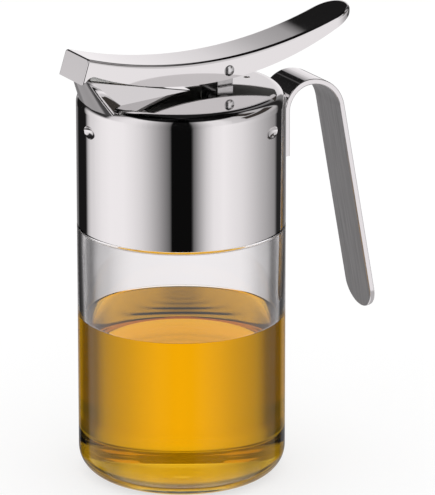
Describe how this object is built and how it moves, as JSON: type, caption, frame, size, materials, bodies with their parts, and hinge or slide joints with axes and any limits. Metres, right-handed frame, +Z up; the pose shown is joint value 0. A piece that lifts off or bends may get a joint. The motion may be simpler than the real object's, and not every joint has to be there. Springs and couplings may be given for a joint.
{
  "type": "lever-lid oil and syrup pourer",
  "caption": "Glass jar with a push-on polished steel cap, a pouring beak covered by a sprung thumb-lever lid, and a bent strip handle.",
  "frame": {"origin": "centre of the jar's flat base, on the jar's axis", "axes": "+Z up along the jar's axis, the beak points along -X, the handle along +X, and the pourer is symmetric about Y = 0"},
  "size_m": [0.1063, 0.065, 0.1441],
  "materials": {
    "clear_glass": "clear, fire-polished",
    "polished_steel": "mirror-polished stainless steel",
    "lever_steel": "mirror-polished stainless steel",
    "handle_steel": "polished outside, fine-brushed inside",
    "bracket_steel": "stamped stainless steel, bright",
    "pin_steel": "stainless rivet, satin dome",
    "spring_steel": "drawn spring wire",
    "sleeve_plastic": "moulded polypropylene, satin",
    "washer_plastic": "turned nylon",
    "seal_silicone": "translucent silicone, matt"
  },
  "bodies": {
    "jar": {"glass_jar": "clear_glass"},
    "cap": {"cap_shell": "polished_steel", "inner_sleeve": "sleeve_plastic", "neck_seal": "seal_silicone", "strip_handle": "handle_steel", "hinge_bracket": "bracket_steel", "return_spring": "spring_steel"},
    "lever": {"thumb_lever": "lever_steel", "closing_pad": "seal_silicone", "hinge_pin": "pin_steel", "near_washer": "washer_plastic", "far_washer": "washer_plastic"}
  },
  "joints": [
    {"name": "cap_lift", "type": "slide", "parent": "jar", "child": "cap", "axis": [0, 0, 1], "range_m": [0, 0.03]},
    {"name": "lever_tilt", "type": "hinge", "parent": "cap", "child": "lever", "pos_m": [0.0129, 0, 0.1299], "axis": [0, 1, 0], "range_deg": [0, 17], "stiffness_Nm_per_rad": 0.1, "springref_deg": -22.92, "deforming": ["return_spring"]}
  ]
}
